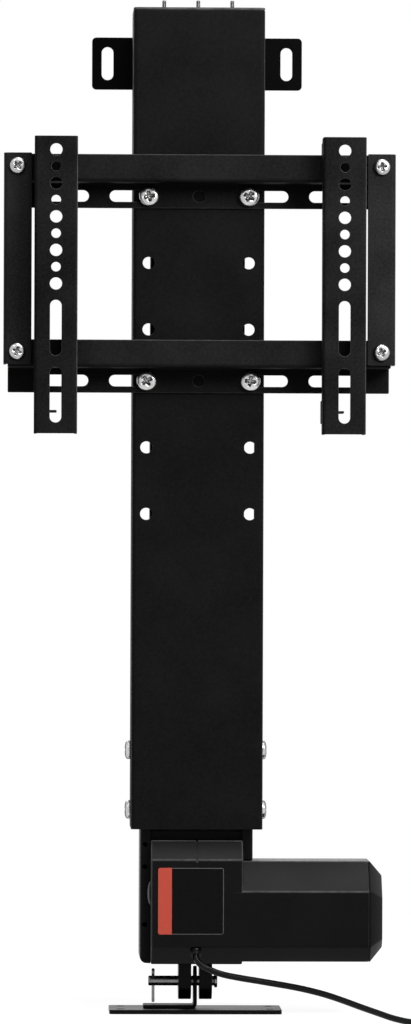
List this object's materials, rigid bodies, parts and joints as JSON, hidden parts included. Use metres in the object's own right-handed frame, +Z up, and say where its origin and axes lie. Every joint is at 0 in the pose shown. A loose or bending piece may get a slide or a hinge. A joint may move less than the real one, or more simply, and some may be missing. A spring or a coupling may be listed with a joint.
{
  "type": "motorised tv lift",
  "caption": "Black telescopic column lift with a worm-gear motor base on a hinged foot, slotted wall plate and a rail frame carrying sliding hooked screen arms.",
  "frame": {"origin": "middle of the foot plate's underside, on the lead screw's axis", "axes": "+Z up along the lead screw, +X to the right along the rails seen from the front, -Y towards the screen"},
  "size_m": [0.3823, 0.204, 0.713],
  "materials": {
    "powder_black": "semi-matt black powder coat",
    "zinc": "bright zinc plate",
    "bare_steel": "ground steel",
    "black_plastic": "fine-grained black moulding",
    "nylon": "natural nylon",
    "bronze": "machined bronze",
    "black_rubber": "satin black cable jacket"
  },
  "bodies": {
    "mast": {"clevis_pin": "zinc", "cotter_pin": "zinc", "rear_clevis": "powder_black", "cradle": "powder_black", "cradle_screws": "zinc", "housing_rear": "black_plastic", "housing_front": "black_plastic", "housing_screws": "zinc", "motor_can": "bare_steel", "motor_end_cap": "black_plastic", "worm_bush": "bronze", "bearing_lower": "bare_steel", "bearing_upper": "bare_steel", "mast_base": "powder_black", "mast_base_screws": "zinc", "mast": "powder_black", "mast_cap": "nylon", "wall_spacer": "powder_black", "wall_plate": "powder_black", "wall_screws": "zinc", "strain_relief": "black_rubber", "cord": "black_rubber", "cord_coil": "black_rubber", "cord_tie": "black_rubber", "cord_plug": "black_rubber"},
    "carriage": {"sleeve": "powder_black", "top_plate": "powder_black", "slide_block_left": "nylon", "slide_block_right": "nylon", "side_screws": "zinc", "drive_nut": "bronze", "nut_carrier": "nylon", "push_tube": "bare_steel", "push_head": "bare_steel", "lid_studs": "zinc", "upper_rail": "powder_black", "lower_rail": "powder_black", "rail_screws": "zinc", "rail_nuts": "zinc", "side_bar_left": "powder_black", "side_bar_right": "powder_black", "bar_screws": "zinc", "bar_nuts": "zinc"},
    "screw": {"lead_screw": "bare_steel", "worm_wheel": "nylon", "screw_end_bush": "nylon"},
    "worm": {"worm": "bare_steel"},
    "left_arm": {"left_arm": "powder_black", "left_lock_screw": "zinc"},
    "right_arm": {"right_arm": "powder_black", "right_lock_screw": "zinc"},
    "foot": {"foot_plate": "powder_black", "foot_lug": "powder_black"}
  },
  "joints": [
    {"name": "lift", "type": "slide", "parent": "mast", "child": "carriage", "axis": [0, 0, 1], "range_m": [0, 0.5]},
    {"name": "screw_spin", "type": "hinge", "parent": "mast", "child": "screw", "pos_m": [0, 0, 0.1], "axis": [0, 0, 1], "range_deg": [-22505, 5]},
    {"name": "worm_spin", "type": "hinge", "parent": "mast", "child": "worm", "pos_m": [0, -0.021, 0.0728], "axis": [1, 0, 0], "range_deg": [-5, 675005]},
    {"name": "left_arm_slide", "type": "slide", "parent": "carriage", "child": "left_arm", "axis": [1, 0, 0], "range_m": [-0.001, 0.06]},
    {"name": "right_arm_slide", "type": "slide", "parent": "carriage", "child": "right_arm", "axis": [1, 0, 0], "range_m": [-0.06, 0.001]},
    {"name": "foot_tilt", "type": "hinge", "parent": "mast", "child": "foot", "pos_m": [0, 0, 0.022], "axis": [1, 0, 0], "range_deg": [-30, 30]}
  ],
  "couplings": [
    {"joint": "screw_spin", "follows": "lift", "rad_per_m": -785.4},
    {"joint": "worm_spin", "follows": "lift", "rad_per_m": 23562}
  ]
}
